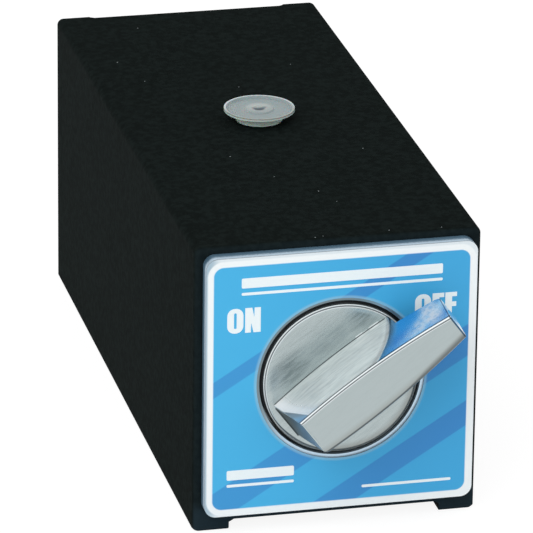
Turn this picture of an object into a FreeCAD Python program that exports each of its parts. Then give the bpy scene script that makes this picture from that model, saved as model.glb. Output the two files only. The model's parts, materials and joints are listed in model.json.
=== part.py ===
# A switchable magnetic base: a steel block in two poles, with a magnet rotor inside that a knob turns.
# Units are millimetres. +Z is up, +Y runs to the back, and the knob faces -Y.
# The origin is under the middle of the whole object, on the plane that the two feet stand on.
import FreeCAD, Part
import math
import os
import re
import Sketcher

doc = FreeCAD.newDocument("MagneticBase")
sheet = doc.addObject("Spreadsheet::Sheet", "Sizes")

# The driving sizes
SIZES = {
    # the block that the two poles and two spacers make together
    "body_width": 50,
    "body_height": 52.2,
    "body_length": 121,
    "edge_round": 1.2,
    "foot_edge": 0.4,
    "foot_width": 6.3,
    "channel_depth": 1.9,
    "ear_width": 6.2,
    "ear_depth": 1.7,
    "bevel_run": 0.9,
    "bevel_rise": 0.5,
    "spacer_width": 14,
    "axis_rise": 1.6,
    "bore_radius": 15,
    # the tapped hole for a column, and the plastic plug that keeps it clean
    "column_place": 59.7,
    "column_radius": 4,
    "column_floor": 1,
    "column_mouth_radius": 4.3,
    "column_mouth_depth": 2.4,
    "plug_clearance": 0.15,
    "plug_stem": 2,
    "plug_flange_radius": 6.35,
    "plug_height": 2.2,
    "plug_rim": 0.5,
    "plug_rim_width": 0.4,
    "plug_neck": 1.2,
    "plug_dish": 0.35,
    "plug_boss_radius": 2.5,
    "plug_boss_height": 0.2,
    "plug_dimple_radius": 1.3,
    "plug_dimple_depth": 0.7,
    # the front plate and its printed sheet
    "plate_width": 47.2,
    "plate_height": 47.4,
    "plate_foot": 3.7,
    "plate_thickness": 2.35,
    "plate_corner": 2,
    "plate_hole_radius": 14.2,
    "label_thickness": 0.35,
    "label_hole_radius": 14.75,
    # countersunk screws, in the front plate and in the rear cover
    "screw_radius": 1.5,
    "screw_gap": 0.05,
    "screw_head_radius": 2.9,
    "screw_head_height": 1.4,
    "screw_key": 2,
    "screw_key_depth": 0.9,
    "plate_screw_inset": 4.2,
    "plate_screw_length": 9,
    "cover_screw_ring": 10,
    "cover_screw_length": 6,
    "cover_screw_count": 3,
    # the knob
    "disc_radius": 13.55,
    "disc_proud": 0.4,
    "disc_bevel": 0.5,
    "flange_thickness": 2,
    "plate_play": 0.3,
    "seal_gap": 0.25,
    "seal_sink": 0.8,
    "seal_round": 0.15,
    "lever_angle": 37,
    "lever_sweep": 106,
    "lever_foot": 11.75,
    "lever_heel": 9.4,
    "heel_height": 11.3,
    "heel_corner": 1,
    "tip_reach": 21.5,
    "tip_height": 11.8,
    "tip_slant": 0.4,
    "tip_underside": 3.75,
    "web_reach": 12.9,
    "web_lean": 0.4,
    "web_underside": 3.3,
    "lever_root": 1,
    "foot_half": 4.6,
    "foot_curve": 130,
    "crown_half": 4.08,
    "crown_curve": 145,
    "lever_bevel": 0.4,
    "lever_round": 0.7,
    "tip_round": 1.1,
    "corner_run": 1.5,
    "corner_near": 1.5,
    "corner_far": 3,
    "corner_curve": 2.2,
    # the stop
    "stop_ring": 10.9,
    "stop_radius": 1.25,
    "stop_play": 0.3,
    "stop_reach": 1.7,
    # the rotor
    "air_gap": 0.3,
    "cap_thickness": 5,
    "magnet_thickness": 12,
    "glue_gap": 0.05,
    "journal_radius": 7,
    "tail_radius": 6,
    "journal_gap": 0.05,
    "tang_side": 8,
    "tang_length": 3,
    "tang_gap": 0.05,
    "tang_end_gap": 0.3,
    "tie_across": 5,
    "tie_above": 10.2,
    "tie_radius": 1.5,
    "tie_gap": 0.15,
    "tie_head_radius": 2.7,
    "tie_head_height": 2.8,
    "tie_key": 2.4,
    "tie_key_depth": 1.4,
    "tie_end": 1,
    # the bushes, washers and rear cover
    "bush_thickness": 7,
    "bush_gap": 0.02,
    "washer_thickness": 0.8,
    "washer_gap": 0.3,
    "washer_rim": 12,
    "end_play": 0.3,
    "spring_height": 0.9,
    "spring_thickness": 0.4,
    "cover_thickness": 1.8,
    "cover_gap": 0.1,
}

for row, (name, number) in enumerate(SIZES.items(), start=1):
    sheet.set(f"A{row}", name)
    sheet.set(f"B{row}", str(number))
    sheet.setAlias(f"B{row}", name)
doc.recompute()


def linked(expression):
    """The expression with each size named as a cell of the sheet."""
    return re.sub(
        r"[a-z_]+",
        lambda word: f"Sizes.{word.group()}" if word.group() in SIZES else word.group(),
        expression,
    )


def value(expression):
    """What an expression comes to, as a plain number."""
    return float(sheet.evalExpression(linked(expression)))


def bind(item, **properties):
    """Bind properties of an object to expressions of the sizes."""
    for name, expression in properties.items():
        item.setExpression(name, linked(expression))
    return item


# Places worked out from the sizes. Depths are measured from the block's front face: ahead of it is
# positive, inside the block is negative.
FRONT = (
    "((plate_thickness + label_thickness + disc_proud + tip_height - body_length) / 2)"
)
AXIS_HEIGHT = "(body_height / 2 + axis_rise)"
COLUMN_DEPTH = f"(body_height - {AXIS_HEIGHT} - bore_radius - column_floor)"
ROTOR_RADIUS = "(bore_radius - air_gap)"
LABEL_FACE = "(plate_thickness + label_thickness)"
DISC_FACE = f"({LABEL_FACE} + disc_proud)"
FLANGE_BACK = "(-plate_play - flange_thickness)"
BUSH_FRONT = f"({FLANGE_BACK} - plate_play)"
BUSH_BACK = f"({BUSH_FRONT} - bush_thickness)"
ROTOR_FRONT = f"({BUSH_BACK} - washer_thickness - end_play)"
MAGNETS_FRONT = f"({ROTOR_FRONT} - cap_thickness)"
REAR_FACE = "(ear_depth - body_length)"
REAR_BUSH_BACK = f"({REAR_FACE} + cover_thickness)"
REAR_BUSH_FRONT = f"({REAR_BUSH_BACK} + bush_thickness)"
ROTOR_BACK = f"({REAR_BUSH_FRONT} + spring_height + end_play)"
MAGNETS_BACK = f"({ROTOR_BACK} + cap_thickness)"
MAGNETS_MIDDLE = f"(({MAGNETS_FRONT} + {MAGNETS_BACK}) / 2)"
BUSH_RADIUS = "(bore_radius - bush_gap)"
PLATE_CENTRE = f"(plate_foot + plate_height / 2 - {AXIS_HEIGHT})"
STEM_RADIUS = "(column_mouth_radius - plug_clearance)"

# Frames: the block's own, the front view about the knob's axis, and the column hole on top
BLOCK = f"placement(vector(0; {FRONT}; 0); rotation(vector(0; 0; 1); 0))"
AXIS = f"placement(vector(0; {FRONT}; {AXIS_HEIGHT}); rotation(vector(1; 0; 0); 90))"
COLUMN = f"placement(vector(0; {FRONT} + column_place; body_height); rotation(vector(0; 0; 1); 0))"


def moved(frame, x="0", y="0", z="0", turn="0"):
    """A frame shifted within a frame, and turned about its own Z."""
    return f"{frame} * placement(vector({x}; {y}; {z}); rotation(vector(0; 0; 1); {turn}))"


LEVER = moved(AXIS, turn="lever_angle")
STOP_ANGLE = "(lever_angle + lever_sweep / 2 - 180)"
ROTOR = moved(AXIS, turn="-(lever_sweep - 90) / 2")


# Sketches and features of a body
def new_body(name, frame):
    body = doc.addObject("PartDesign::Body", name)
    return bind(body, Placement=frame)


def sketch_on(body, name, plane, height):
    """An empty sketch on one of the body's own planes, raised by a height if there is one."""
    sketch = body.newObject("Sketcher::SketchObject", name)
    planes = {item.Role: item for item in body.Origin.OriginFeatures}
    sketch.AttachmentSupport = [(planes[plane], "")]
    sketch.MapMode = "FlatFace"
    if height:
        sketch.setExpression("AttachmentOffset.Base.z", linked(height))
    return sketch


def hold(sketch, constraint, expression):
    """Add a dimension and tie it to an expression of the sizes."""
    index = sketch.addConstraint(constraint)
    sketch.setExpression(f"Constraints[{index}]", linked(expression))


def arc_between(start, finish, radius):
    """The arc from one point to another with its centre on the right, as a sketch draws it."""
    along = finish - start
    right = FreeCAD.Vector(along.y, -along.x, 0).normalize()
    centre = (start + finish) / 2 + right * math.sqrt(radius**2 - along.Length**2 / 4)
    angles = [math.atan2(end.y - centre.y, end.x - centre.x) for end in (finish, start)]
    return Part.ArcOfCircle(Part.Circle(centre, FreeCAD.Vector(0, 0, 1), radius), *angles)


def outline(body, name, corners, plane="XZ_Plane", height=None, arcs=None):
    """A closed outline with its corners held. arcs gives a radius for the side after a corner."""
    sketch = sketch_on(body, name, plane, height)
    points = [FreeCAD.Vector(value(x), value(y), 0) for x, y in corners]
    following = points[1:] + points[:1]
    # A sketch draws an arc anticlockwise, so one with its centre on the right runs backwards
    first, last = 1, 2
    ways = []
    for index, (start, finish) in enumerate(zip(points, following)):
        if arcs and index in arcs:
            radius = value(arcs[index])
            sketch.addGeometry(arc_between(start, finish, radius))
            hold(sketch, Sketcher.Constraint("Radius", index, radius), arcs[index])
            ways.append((last, first))
        else:
            sketch.addGeometry(Part.LineSegment(start, finish))
            ways.append((first, last))
    for index, (start, finish) in enumerate(ways):
        after = (index + 1) % len(ways)
        joint = Sketcher.Constraint("Coincident", index, finish, after, ways[after][0])
        sketch.addConstraint(joint)
        for kind, place, expression in zip(
            ("DistanceX", "DistanceY"), points[index], corners[index]
        ):
            held = Sketcher.Constraint(kind, -1, 1, index, start, place)
            hold(sketch, held, expression)
    return sketch


def circle(body, name, radius, height):
    """A circle about the body's own Z, at a height."""
    sketch = sketch_on(body, name, "XY_Plane", height)
    up = FreeCAD.Vector(0, 0, 1)
    sketch.addGeometry(Part.Circle(FreeCAD.Vector(0, 0, 0), up, value(radius)))
    sketch.addConstraint(Sketcher.Constraint("Coincident", 0, 3, -1, 1))
    hold(sketch, Sketcher.Constraint("Radius", 0, value(radius)), radius)
    return sketch


def rectangle(left, right, low, high):
    """The four corners of a rectangle, as expressions."""
    return [(left, low), (right, low), (right, high), (left, high)]


def pad(body, sketch, length, reverse=False):
    feature = body.newObject("PartDesign::Pad", sketch.Name + "_pad")
    feature.Profile = sketch
    feature.Reversed = reverse
    return bind(feature, Length=length)


def pocket(body, sketch, length=None, reverse=False):
    """A pocket of a length, or right through both ways."""
    feature = body.newObject("PartDesign::Pocket", sketch.Name + "_pocket")
    feature.Profile = sketch
    feature.Reversed = reverse
    if length:
        bind(feature, Length=length)
    else:
        feature.Type = "ThroughAll"
        feature.Midplane = True
    return feature


def turned(body, name, corners):
    """A solid of revolution about the body's own Z, from a radius and height outline."""
    sketch = outline(body, name + "_section", corners)
    feature = body.newObject("PartDesign::Revolution", name + "_turned")
    feature.Profile = sketch
    feature.ReferenceAxis = (sketch, ["V_Axis"])
    feature.Angle = 360
    return feature


def close(one, other):
    return abs(one - other) < 1e-6


def ends(edge, axis):
    """How far along an axis each end of an edge lies."""
    return [getattr(vertex.Point, axis) for vertex in edge.Vertexes]


def all_at(edge, axis, place):
    return all(close(end, place) for end in ends(edge, axis))


def all_above(edge, axis, place):
    return all(end > place - 1e-6 for end in ends(edge, axis))


def span(edge, axis):
    return max(ends(edge, axis)) - min(ends(edge, axis))


def edges_where(feature, wanted):
    """The names of the edges that pass a test."""
    doc.recompute()
    edges = enumerate(feature.Shape.Edges, start=1)
    return [f"Edge{index}" for index, edge in edges if wanted(edge)]


def fillet(body, feature, radius, wanted):
    finish = body.newObject("PartDesign::Fillet", feature.Name + "_round")
    finish.Base = (feature, edges_where(feature, wanted))
    return bind(finish, Radius=radius)


def chamfer(body, feature, width, wanted):
    finish = body.newObject("PartDesign::Chamfer", feature.Name + "_bevel")
    finish.Base = (feature, edges_where(feature, wanted))
    return bind(finish, Size=width)


# Plain solids and booleans
def cylinder(name, frame, radius, low, high, x="0", y="0"):
    item = doc.addObject("Part::Cylinder", name)
    return bind(
        item,
        Radius=radius,
        Height=f"{high} - {low}",
        Placement=moved(frame, x, y, low),
    )


def cone(name, frame, low_radius, high_radius, low, high, x="0", y="0"):
    item = doc.addObject("Part::Cone", name)
    return bind(
        item,
        Radius1=low_radius,
        Radius2=high_radius,
        Height=f"{high} - {low}",
        Placement=moved(frame, x, y, low),
    )


def box(name, frame, left, right, near, far, low, high):
    item = doc.addObject("Part::Box", name)
    return bind(
        item,
        Length=f"{right} - {left}",
        Width=f"{far} - {near}",
        Height=f"{high} - {low}",
        Placement=moved(frame, left, near, low),
    )


def key_socket(name, frame, width, low, high, x, y):
    """A six-sided socket, measured across its flats."""
    item = doc.addObject("Part::Prism", name)
    item.Polygon = 6
    return bind(
        item,
        Circumradius=f"{width} / sqrt(3)",
        Height=f"{high} - {low}",
        Placement=moved(frame, x, y, low),
    )


def fused(name, items):
    item = doc.addObject("Part::MultiFuse", name)
    item.Shapes = items
    return item


def cut(name, base, tools):
    item = doc.addObject("Part::Cut", name)
    item.Base = base
    item.Tool = tools[0] if len(tools) == 1 else fused(name + "_tools", tools)
    return item


def common(name, one, other):
    item = doc.addObject("Part::Common", name)
    item.Base = one
    item.Tool = other
    return item


NODES = []


def node(item, label):
    """Name a finished piece."""
    item.Label = label
    NODES.append(item)
    return item


# The block, rounded and channelled as one before it is divided
def block_outline():
    block = new_body("block", BLOCK)
    front = outline(
        block,
        "block_front",
        rectangle("-body_width / 2", "body_width / 2", "0", "body_height"),
    )
    blank = pad(block, front, "body_length", reverse=True)
    top = value("body_height")

    def upright_or_on_top(edge):
        low, high = min(ends(edge, "z")), max(ends(edge, "z"))
        return close(low, top) or (close(low, 0) and close(high, top))

    outer = fillet(block, blank, "edge_round", upright_or_on_top)
    chamfer(block, outer, "foot_edge", lambda edge: all_at(edge, "z", 0))

    foot, slope = "(body_width / 2 - foot_width)", "(body_width / 2 - foot_width - bevel_run)"
    channel = [
        (f"-{foot}", "0"),
        (foot, "0"),
        (foot, "channel_depth - bevel_rise"),
        (slope, "channel_depth"),
        (f"-{slope}", "channel_depth"),
        (f"-{foot}", "channel_depth - bevel_rise"),
    ]
    pocket(block, outline(block, "bottom_channel", channel))

    ear, slope = "(body_width / 2 - ear_width)", "(body_width / 2 - ear_width - bevel_run)"
    floor = "body_length - ear_depth"
    rear = [
        (f"-{slope}", floor),
        (slope, floor),
        (ear, f"{floor} + bevel_rise"),
        (ear, "body_length"),
        (f"-{ear}", "body_length"),
        (f"-{ear}", f"{floor} + bevel_rise"),
    ]
    pocket(block, outline(block, "rear_channel", rear, plane="XY_Plane"))
    return block


def share(name, block, left, right, low="0", high="body_height"):
    """The part of the block between two upright planes, with the bore taken out."""
    region = box(name + "_region", BLOCK, left, right, "0", "body_length", low, high)
    bore = cylinder(name + "_bore", AXIS, "bore_radius", "-body_length", "0")
    return cut(name + "_bored", common(name + "_blank", block, region), [bore])


def corner_places():
    """The four plate screws, about the knob's axis."""
    across = "(plate_width / 2 - plate_screw_inset)"
    upward = "(plate_height / 2 - plate_screw_inset)"
    for side in ("-", ""):
        for level in ("-", ""):
            yield f"{side}{across}", f"{PLATE_CENTRE} + {level}{upward}"


def poles(block):
    """Two steel poles, each with its screw holes for the front plate."""
    half = "spacer_width / 2"
    bounds = {
        "left_pole": ("-body_width / 2", f"-{half}"),
        "right_pole": (half, "body_width / 2"),
    }
    places = list(corner_places())
    for name, sides in bounds.items():
        holes = [
            cylinder(
                f"{name}_hole_{count}",
                AXIS,
                "screw_radius + screw_gap",
                "-plate_screw_length",
                "0",
                x,
                y,
            )
            for count, (x, y) in enumerate(places)
            if x.startswith("-") == (name == "left_pole")
        ]
        node(cut(name, share(name, block, *sides), holes), name)


def spacers(block):
    """Brass spacers that keep the poles apart. The top one is tapped for the column, and its hole has a
    plain, wider mouth that takes the plug."""
    half = "spacer_width / 2"
    hole = cylinder("column_hole", COLUMN, "column_radius", f"-{COLUMN_DEPTH}", "0")
    mouth = cylinder(
        "column_mouth", COLUMN, "column_mouth_radius", "-column_mouth_depth", "0"
    )
    top = share("top_spacer", block, f"-{half}", half, low=AXIS_HEIGHT)
    node(cut("top_spacer", top, [hole, mouth]), "top_spacer")
    bottom = share("bottom_spacer", block, f"-{half}", half, high=AXIS_HEIGHT)
    node(bottom, "bottom_spacer")


# Countersunk screws, with the head's flat face at a height
def screw(name, frame, x, y, face, length):
    head_low = f"({face} - screw_head_height)"
    shank = cylinder(
        name + "_shank", frame, "screw_radius", f"({face} - {length})", head_low, x, y
    )
    head = cone(
        name + "_head", frame, "screw_radius", "screw_head_radius", head_low, face, x, y
    )
    key = key_socket(
        name + "_key", frame, "screw_key", f"({face} - screw_key_depth)", face, x, y
    )
    return cut(name, fused(name + "_blank", [shank, head]), [key])


def screw_seat(name, frame, x, y, face, back):
    """The countersink and clearance hole that a screw lies in."""
    head_low = f"({face} - screw_head_height)"
    sink = cone(
        name + "_sink",
        frame,
        "screw_radius + screw_gap",
        "screw_head_radius + screw_gap",
        head_low,
        face,
        x,
        y,
    )
    way = cylinder(
        name + "_way", frame, "screw_radius + screw_gap", back, head_low, x, y
    )
    return [sink, way]


def group(name, items):
    item = doc.addObject("Part::Compound", name)
    item.Links = items
    return item


# The front plate, its sheet and screws
def plate_blank(name, low, thickness, hole_radius):
    """A square sheet with rounded corners and a round hole on the knob's axis."""
    body = new_body(name, AXIS)
    sides = rectangle(
        "-plate_width / 2",
        "plate_width / 2",
        f"{PLATE_CENTRE} - plate_height / 2",
        f"{PLATE_CENTRE} + plate_height / 2",
    )
    face = outline(body, name + "_face", sides, plane="XY_Plane", height=low)
    blank = pad(body, face, thickness)
    fillet(body, blank, "plate_corner", lambda edge: span(edge, "z") > 0)
    hole = circle(body, name + "_hole", hole_radius, low)
    pocket(body, hole, thickness, reverse=True)
    return body


def front_plate():
    body = plate_blank("plate_blank", "0", "plate_thickness", "plate_hole_radius")
    seats, screws = [], []
    for count, (x, y) in enumerate(corner_places()):
        seats += screw_seat(f"plate_seat_{count}", AXIS, x, y, "plate_thickness", "0")
        screws.append(
            screw(
                f"plate_screw_{count}", AXIS, x, y, "plate_thickness", "plate_screw_length"
            )
        )
    node(cut("front_plate", body, seats), "front_plate")
    node(group("front_plate_screws", screws), "front_plate_screws")


def label_sheet():
    body = plate_blank(
        "label_sheet", "plate_thickness", "label_thickness", "label_hole_radius"
    )
    node(body, "label_sheet")


# The knob: a disc with a flange behind the plate, and a lever across it
def knob_disc():
    body = new_body("knob_disc", LEVER)
    turned(
        body,
        "knob_disc",
        [
            ("0", FLANGE_BACK),
            (ROTOR_RADIUS, FLANGE_BACK),
            (ROTOR_RADIUS, "-plate_play"),
            ("disc_radius", "-plate_play"),
            ("disc_radius", f"{DISC_FACE} - disc_bevel"),
            ("disc_radius - disc_bevel", DISC_FACE),
            ("0", DISC_FACE),
        ],
    )
    half = "(tang_side / 2 + tang_gap)"
    socket = outline(
        body,
        "tang_socket",
        rectangle(f"-{half}", half, f"-{half}", half),
        plane="XY_Plane",
        height=FLANGE_BACK,
    )
    pocket(body, socket, "tang_length + tang_end_gap", reverse=True)
    reach = "(stop_radius + stop_play)"
    track = outline(
        body,
        "stop_track",
        rectangle(
            f"-stop_ring - {reach}",
            f"-stop_ring + {reach}",
            FLANGE_BACK,
            f"{FLANGE_BACK} + stop_reach + stop_play",
        ),
    )
    groove = body.newObject("PartDesign::Groove", "stop_groove")
    groove.Profile = track
    groove.ReferenceAxis = (track, ["V_Axis"])
    groove.Midplane = True
    bind(groove, Angle=f"lever_sweep * 1 deg + 2 * asin({reach} / stop_ring)")
    return body


def lever_plan(body, name, half, curve, height):
    """The lever seen from the front, at a height: two bowed sides, widest over the axis."""
    near, far = "(lever_foot + lever_root)", "(tip_reach + lever_root)"

    def side(reach):
        return f"({half} - {curve} + sqrt({curve} ^ 2 - {reach} ^ 2))"

    corners = [
        (f"-{near}", side(near)),
        (far, side(far)),
        (far, f"-{side(far)}"),
        (f"-{near}", f"-{side(near)}"),
    ]
    return outline(
        body, name, corners, plane="XY_Plane", height=height, arcs={0: curve, 2: curve}
    )


def knob_lever():
    """The lever tapers a little towards its top, and is cut to its side view afterwards."""
    body = new_body("knob_lever", LEVER)
    root, crown = f"({DISC_FACE} - lever_root)", f"({DISC_FACE} + tip_height)"
    blank = body.newObject("PartDesign::AdditiveLoft", "lever_blank")
    blank.Profile = lever_plan(body, "lever_foot_plan", "foot_half", "foot_curve", root)
    blank.Sections = [
        lever_plan(body, "lever_crown_plan", "crown_half", "crown_curve", crown)
    ]
    blank.Ruled = True
    beyond = "(tip_reach + 2 * lever_root)"
    above = [
        (f"-{beyond}", root),
        ("-lever_foot", root),
        ("-lever_foot", DISC_FACE),
        ("-lever_heel", f"{DISC_FACE} + heel_height"),
        ("tip_reach", crown),
        ("tip_reach", f"{crown} + lever_root"),
        (f"-{beyond}", f"{crown} + lever_root"),
    ]
    pocket(body, outline(body, "lever_above", above))
    below = [
        ("web_reach", root),
        (beyond, root),
        (beyond, crown),
        ("tip_reach", crown),
        ("tip_reach + tip_slant", f"{DISC_FACE} + tip_underside"),
        ("web_reach + web_lean", f"{DISC_FACE} + web_underside"),
        ("web_reach", DISC_FACE),
    ]
    shaped = pocket(body, outline(body, "lever_below", below))

    foot, heel = value("-lever_foot"), value("-lever_heel")
    end = value("tip_reach + tip_slant")
    under, top = value(f"{DISC_FACE} + tip_underside"), value(f"{DISC_FACE} + heel_height")

    def between(edge, low, high):
        return close(min(ends(edge, "x")), low) and close(max(ends(edge, "x")), high)

    def along_top(edge):
        return all_above(edge, "z", top) and span(edge, "x") > value("lever_round")

    shaped = fillet(
        body,
        shaped,
        "heel_corner",
        lambda edge: between(edge, foot, heel) and max(ends(edge, "y")) < 0,
    )
    shaped = chamfer(
        body,
        shaped,
        "lever_bevel",
        lambda edge: along_top(edge) and min(ends(edge, "y")) > 0,
    )
    shaped = fillet(
        body,
        shaped,
        "lever_round",
        lambda edge: along_top(edge) and max(ends(edge, "y")) < 0,
    )
    shaped = fillet(
        body,
        shaped,
        "tip_round",
        lambda edge: all_at(edge, "x", end) and all_at(edge, "z", under),
    )
    corner = [
        (beyond, "-corner_near"),
        ("tip_reach + tip_slant", "-corner_near"),
        ("tip_reach - corner_run", "-corner_far"),
        ("tip_reach - corner_run", "-foot_half"),
        (beyond, "-foot_half"),
    ]
    plan = outline(
        body, "lever_corner", corner, plane="XY_Plane", arcs={1: "corner_curve"}
    )
    pocket(body, plan)
    return body


def knob():
    node(fused("knob", [knob_disc(), knob_lever()]), "knob")


def knob_seal():
    """A rubber ring in the gap between the disc and the plate's hole."""
    body = new_body("knob_seal", AXIS)
    outer = "(plate_hole_radius - seal_gap)"
    face = f"({LABEL_FACE} - seal_sink)"
    ring = turned(
        body,
        "knob_seal",
        [
            ("disc_radius", "-plate_play"),
            (outer, "-plate_play"),
            (outer, face),
            ("disc_radius", face),
        ],
    )
    fillet(
        body,
        ring,
        "seal_round",
        lambda edge: all_at(edge, "z", value(face)),
    )
    node(body, "knob_seal")


# The stop pin, bushes and washers that stay with the block
def flat_ring(name, inner, outer, low, high):
    """A ring with a rectangular section on the knob's axis."""
    body = new_body(name, AXIS)
    turned(body, name, rectangle(inner, outer, low, high))
    return body


def front_bush():
    ring = flat_ring(
        "front_bush_blank",
        "journal_radius + journal_gap",
        BUSH_RADIUS,
        BUSH_BACK,
        BUSH_FRONT,
    )
    x = f"stop_ring * cos({STOP_ANGLE})"
    y = f"stop_ring * sin({STOP_ANGLE})"
    hole = cylinder(
        "stop_hole", AXIS, "stop_radius + bush_gap", BUSH_BACK, BUSH_FRONT, x, y
    )
    node(cut("front_bush", ring, [hole]), "front_bush")
    pin = cylinder(
        "stop_pin",
        AXIS,
        "stop_radius",
        BUSH_BACK,
        f"({BUSH_FRONT} + plate_play + stop_reach)",
        x,
        y,
    )
    node(pin, "stop_pin")


def thrust_washer():
    ring = flat_ring(
        "thrust_washer",
        "journal_radius + washer_gap",
        "washer_rim",
        f"({BUSH_BACK} - washer_thickness)",
        BUSH_BACK,
    )
    node(ring, "thrust_washer")


def spring_washer():
    """A dished washer that takes up the rotor's end play."""
    body = new_body("spring_washer", AXIS)
    inner = "(tail_radius + washer_gap)"
    turned(
        body,
        "spring_washer",
        [
            (inner, REAR_BUSH_FRONT),
            ("washer_rim", f"{REAR_BUSH_FRONT} + spring_height - spring_thickness"),
            ("washer_rim", f"{REAR_BUSH_FRONT} + spring_height"),
            (inner, f"{REAR_BUSH_FRONT} + spring_thickness"),
        ],
    )
    node(body, "spring_washer")


def cover_places():
    """The screws of the rear cover, evenly round the axis."""
    for count in range(int(value("cover_screw_count"))):
        angle = f"(90 + {count} * 360 / cover_screw_count)"
        yield f"cover_screw_ring * cos({angle})", f"cover_screw_ring * sin({angle})"


def rear_end():
    """The rear bush, the cover that closes the bore behind it, and the cover's screws."""
    ring = flat_ring(
        "rear_bush_blank",
        "tail_radius + journal_gap",
        BUSH_RADIUS,
        REAR_BUSH_BACK,
        REAR_BUSH_FRONT,
    )
    disc = cylinder(
        "rear_cover_disc",
        AXIS,
        "bore_radius - cover_gap",
        REAR_FACE,
        REAR_BUSH_BACK,
    )
    outward = f"{AXIS} * placement(vector(0; 0; {REAR_FACE}); rotation(vector(1; 0; 0); 180))"
    holes, seats, screws = [], [], []
    for count, (x, y) in enumerate(cover_places()):
        seats += screw_seat(
            f"cover_seat_{count}", outward, x, y, "0", "-cover_thickness"
        )
        holes.append(
            cylinder(
                f"cover_hole_{count}",
                outward,
                "screw_radius + screw_gap",
                "-cover_screw_length",
                "-cover_thickness",
                x,
                y,
            )
        )
        screws.append(
            screw(f"cover_screw_{count}", outward, x, y, "0", "cover_screw_length")
        )
    node(cut("rear_bush", ring, holes), "rear_bush")
    node(cut("rear_cover", disc, seats), "rear_cover")
    node(group("rear_cover_screws", screws), "rear_cover_screws")


# The rotor: two magnets between two steel shoes, with a cap and a journal at each end
def tie_places():
    for side in ("-", ""):
        for level in ("-", ""):
            yield f"{side}tie_across", f"{level}tie_above"


def rotor_caps():
    front = new_body("rotor_front_blank", ROTOR)
    turned(
        front,
        "rotor_front",
        [
            ("0", MAGNETS_FRONT),
            (ROTOR_RADIUS, MAGNETS_FRONT),
            (ROTOR_RADIUS, ROTOR_FRONT),
            ("journal_radius", ROTOR_FRONT),
            ("journal_radius", FLANGE_BACK),
            ("0", FLANGE_BACK),
        ],
    )
    half = "tang_side / 2"
    # The tang stands square to the lever, as its socket in the knob does
    tang = box(
        "rotor_tang",
        LEVER,
        f"-{half}",
        half,
        f"-{half}",
        half,
        FLANGE_BACK,
        f"({FLANGE_BACK} + tang_length)",
    )
    seats, holes = [], []
    for count, (x, y) in enumerate(tie_places()):
        head_low = f"({ROTOR_FRONT} - tie_head_height)"
        seats.append(
            cylinder(
                f"tie_seat_{count}",
                ROTOR,
                "tie_head_radius + tie_gap",
                head_low,
                ROTOR_FRONT,
                x,
                y,
            )
        )
        seats.append(
            cylinder(
                f"tie_way_{count}",
                ROTOR,
                "tie_radius + tie_gap",
                MAGNETS_FRONT,
                head_low,
                x,
                y,
            )
        )
        holes.append(
            cylinder(
                f"tie_hole_{count}",
                ROTOR,
                "tie_radius + screw_gap",
                f"({ROTOR_BACK} + tie_end)",
                MAGNETS_BACK,
                x,
                y,
            )
        )
    blank = fused("rotor_front_whole", [front, tang])
    node(cut("rotor_front_cap", blank, seats), "rotor_front_cap")
    rear = new_body("rotor_rear_blank", ROTOR)
    turned(
        rear,
        "rotor_rear",
        [
            ("0", f"{REAR_BUSH_BACK} + tie_end"),
            ("tail_radius", f"{REAR_BUSH_BACK} + tie_end"),
            ("tail_radius", ROTOR_BACK),
            (ROTOR_RADIUS, ROTOR_BACK),
            (ROTOR_RADIUS, MAGNETS_BACK),
            ("0", MAGNETS_BACK),
        ],
    )
    node(cut("rotor_rear_cap", rear, holes), "rotor_rear_cap")


def rotor_magnets():
    """Ferrite bars, magnetised through their thickness, as wide as the rotor allows."""
    half = f"(sqrt({ROTOR_RADIUS} ^ 2 - (magnet_thickness / 2) ^ 2) - glue_gap)"
    lengths = {
        "rotor_magnet_front": (f"({MAGNETS_MIDDLE} + glue_gap)", MAGNETS_FRONT),
        "rotor_magnet_rear": (MAGNETS_BACK, f"({MAGNETS_MIDDLE} - glue_gap)"),
    }
    for name, (low, high) in lengths.items():
        thick = "magnet_thickness / 2"
        bar = box(name, ROTOR, f"-{half}", half, f"-{thick}", thick, low, high)
        node(bar, name)


def rotor_shoes():
    """Steel segments that fill the round of the rotor on each side of the magnets."""
    flat = "(magnet_thickness / 2 + glue_gap)"
    sides = {
        "rotor_shoe_upper": (flat, ROTOR_RADIUS, ""),
        "rotor_shoe_lower": (f"-{ROTOR_RADIUS}", f"-{flat}", "-"),
    }
    for name, (near, far, level) in sides.items():
        bar = cylinder(
            name + "_round", ROTOR, ROTOR_RADIUS, MAGNETS_BACK, MAGNETS_FRONT
        )
        region = box(
            name + "_region",
            ROTOR,
            f"-{ROTOR_RADIUS}",
            ROTOR_RADIUS,
            near,
            far,
            MAGNETS_BACK,
            MAGNETS_FRONT,
        )
        holes = [
            cylinder(
                f"{name}_hole_{count}",
                ROTOR,
                "tie_radius + tie_gap",
                MAGNETS_BACK,
                MAGNETS_FRONT,
                f"{side}tie_across",
                f"{level}tie_above",
            )
            for count, side in enumerate(("-", ""))
        ]
        node(cut(name, common(name + "_blank", bar, region), holes), name)


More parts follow.
